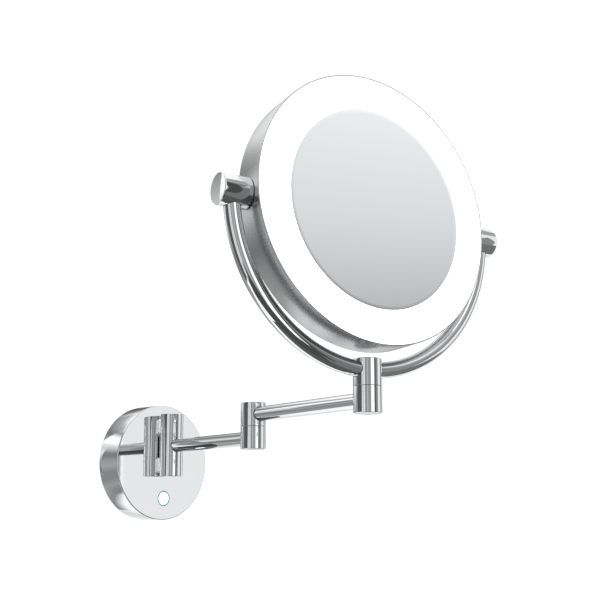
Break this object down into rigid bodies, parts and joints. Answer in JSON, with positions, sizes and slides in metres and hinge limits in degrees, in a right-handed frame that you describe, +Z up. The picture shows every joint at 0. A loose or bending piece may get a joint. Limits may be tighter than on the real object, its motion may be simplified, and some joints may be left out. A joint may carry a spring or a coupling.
{
  "type": "extendable shaving mirror",
  "caption": "Wall-mounted extendable shaving mirror: chromed rosette, hinged tube arms and a half-round yoke that holds a tilting round magnifying mirror with a lit ring.",
  "frame": {"origin": "centre of the wall plate's back face, on the wall", "axes": "+Y into the wall, -Y out into the room, +Z up, +X to the right when facing the wall"},
  "size_m": [0.2542, 0.3674, 0.3425],
  "materials": {
    "polished_chrome": "bright chrome plate, mirror polished",
    "satin_aluminium": "satin",
    "zinc_steel": "zinc plated",
    "spring_steel": "phosphated",
    "silvered_glass": "silvered magnifying glass",
    "opal_acrylic": "opal, lit from behind",
    "white_polymer": "moulded",
    "black_polymer": "moulded",
    "green_laminate": "solder mask",
    "white_laminate": "white solder mask",
    "ice_lens": "lit lens",
    "teal_ring": "gloss"
  },
  "bodies": {
    "wall": {"wall_plate": "zinc_steel", "rosette_shell": "polished_chrome", "grub_screw": "zinc_steel", "arm_bracket": "zinc_steel", "bracket_screw_left": "zinc_steel", "bracket_screw_right": "zinc_steel", "foot_upper": "white_polymer", "foot_bolt_upper": "zinc_steel", "foot_lower": "white_polymer", "foot_bolt_lower": "zinc_steel", "led_driver": "black_polymer", "terminal_block": "white_polymer", "touch_ring": "teal_ring", "touch_lens": "ice_lens", "touch_board": "green_laminate", "wall_barrel_upper": "polished_chrome", "wall_barrel_lower": "polished_chrome", "wall_hinge_pin": "zinc_steel", "wall_hinge_disc_spring": "spring_steel", "wall_hinge_cap": "polished_chrome"},
    "inner_arm": {"arm1_knuckle": "polished_chrome", "wall_washer_upper": "white_polymer", "wall_washer_lower": "white_polymer", "arm1_tube": "polished_chrome", "arm1_lead": "black_polymer", "elbow_lower_barrel": "polished_chrome", "elbow_washer": "white_polymer", "elbow_disc_spring": "spring_steel", "elbow_cap": "polished_chrome"},
    "outer_arm": {"elbow_upper_barrel": "polished_chrome", "elbow_pin": "zinc_steel", "arm2_tube": "polished_chrome", "arm2_lead": "black_polymer", "head_joint_lower_barrel": "polished_chrome", "head_joint_washer": "white_polymer", "head_joint_disc_spring": "spring_steel", "head_joint_cap": "polished_chrome"},
    "yoke": {"head_joint_upper_barrel": "polished_chrome", "head_joint_pin": "zinc_steel", "yoke_tube": "polished_chrome", "yoke_lead": "black_polymer", "left_knob": "polished_chrome", "left_knob_washer": "white_polymer", "left_pivot_bolt": "zinc_steel", "right_knob": "polished_chrome", "right_knob_washer": "white_polymer", "right_pivot_bolt": "zinc_steel"},
    "head": {"drum_shell": "satin_aluminium", "left_pivot_block": "zinc_steel", "right_pivot_block": "zinc_steel", "led_tray": "white_polymer", "led_board": "white_laminate", "glass_adhesive": "black_polymer", "mirror_glass": "silvered_glass", "diffuser_ring": "opal_acrylic", "back_screw_1": "zinc_steel", "back_screw_2": "zinc_steel", "back_screw_3": "zinc_steel"}
  },
  "joints": [
    {"name": "wall_swing", "type": "hinge", "parent": "wall", "child": "inner_arm", "pos_m": [-0.0015, -0.0422, 0.0164], "axis": [0, 0, 1], "range_deg": [-80.2, 99.8]},
    {"name": "elbow_swing", "type": "hinge", "parent": "inner_arm", "child": "outer_arm", "pos_m": [-0.02492, -0.17779, 0.0258], "axis": [0, 0, 1], "range_deg": [-150, 150]},
    {"name": "head_swivel", "type": "hinge", "parent": "outer_arm", "child": "yoke", "pos_m": [-0.04989, -0.32235, 0.0464], "axis": [0, 0, 1], "range_deg": [-170, 170]},
    {"name": "head_tilt", "type": "hinge", "parent": "yoke", "child": "head", "pos_m": [-0.04989, -0.32235, 0.1765], "axis": [0.9646, -0.2639, 0], "range_deg": [-86.6, 93.4]}
  ]
}
